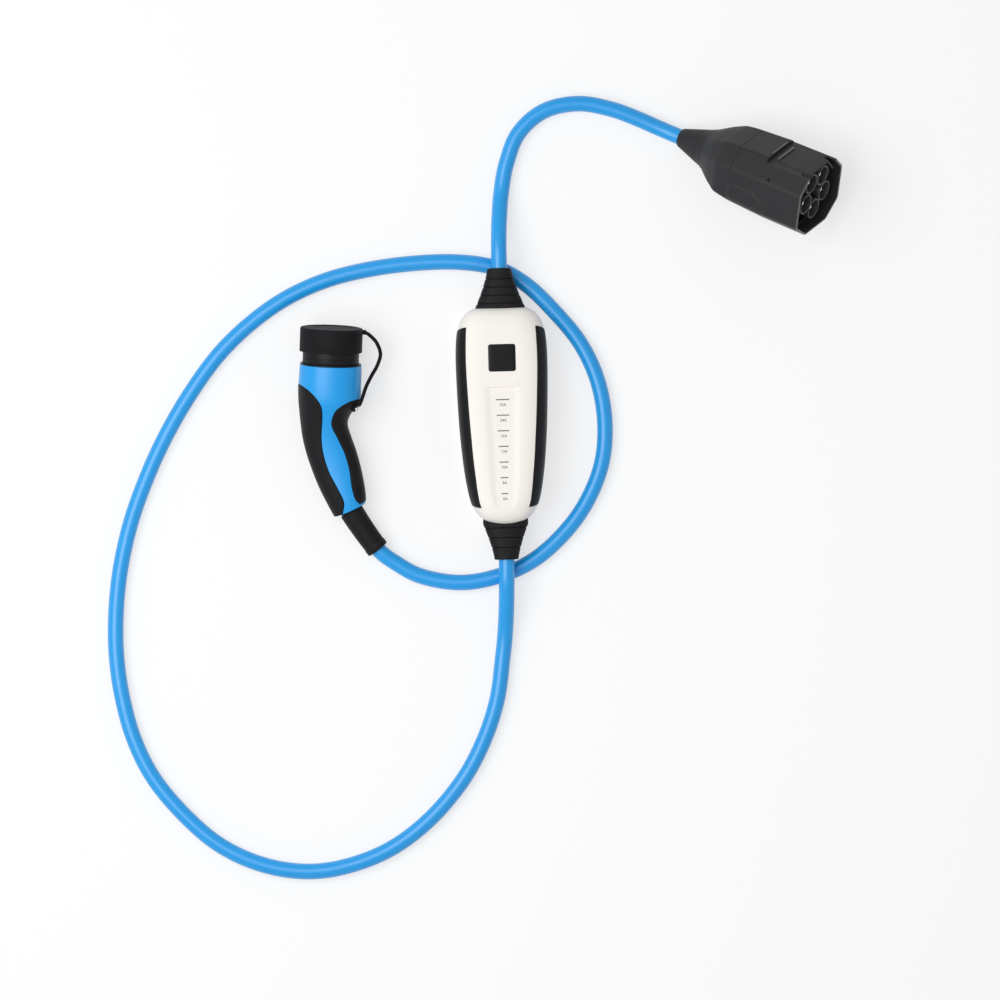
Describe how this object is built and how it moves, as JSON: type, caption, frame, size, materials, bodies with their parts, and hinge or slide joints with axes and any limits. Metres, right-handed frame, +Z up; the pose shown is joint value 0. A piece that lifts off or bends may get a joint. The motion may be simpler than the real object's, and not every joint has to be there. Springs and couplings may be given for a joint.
{
  "type": "portable ev charger",
  "caption": "Portable car charger: a cream control box with side grips between a pinned supply connector and a capped vehicle connector, on blue cords lying on the floor.",
  "frame": {"origin": "on the floor, under the middle of the control box between the tips of its two boots", "axes": "+Y along the box toward the supply cord, +Z up from the floor through the front of the box, +X to the right of the scale"},
  "size_m": [0.805, 0.8383, 0.1274],
  "materials": {
    "housing": "satin",
    "soft_grip": "matte",
    "badge": "gloss",
    "boot": "matte",
    "cord": "satin",
    "handle": "satin",
    "nose": "matte",
    "cap": "matte",
    "shell": "matte",
    "tubes": "matte",
    "steel": "brushed",
    "contacts": "satin",
    "board": "satin",
    "relays": "satin",
    "core": "matte",
    "terminals": "matte",
    "leads": "satin",
    "light": "gloss"
  },
  "bodies": {
    "charger": {"front_cover": "housing", "rear_cover": "housing", "housing_seal": "soft_grip", "left_grip": "soft_grip", "right_grip": "soft_grip", "badge_plate": "badge", "light_guide": "light", "circuit_board": "board", "board_screws": "steel", "power_relays": "relays", "current_sensor": "core", "terminal_blocks": "terminals", "supply_leads": "leads", "charge_leads": "leads", "cover_screws": "steel", "supply_boot": "boot", "charge_boot": "boot", "supply_cord": "cord", "charge_cord": "cord", "handle_body": "handle", "spine_grip": "soft_grip", "finger_grip": "soft_grip", "nose_collar": "nose", "contact_carrier": "nose", "power_sockets": "contacts", "pilot_sockets": "contacts", "cap_strap": "cap", "strap_screw": "steel", "cord_sleeve": "boot", "connector_shell": "shell", "connector_nose": "shell", "tube_block": "tubes", "supply_pins": "steel", "connector_boot": "boot"},
    "cap": {"protective_cap": "cap"}
  },
  "joints": [
    {"name": "cap_pull", "type": "slide", "parent": "charger", "child": "cap", "axis": [0.0606, 0.9911, 0.1184], "range_m": [0, 0.036], "deforming": ["cap_strap"]}
  ]
}
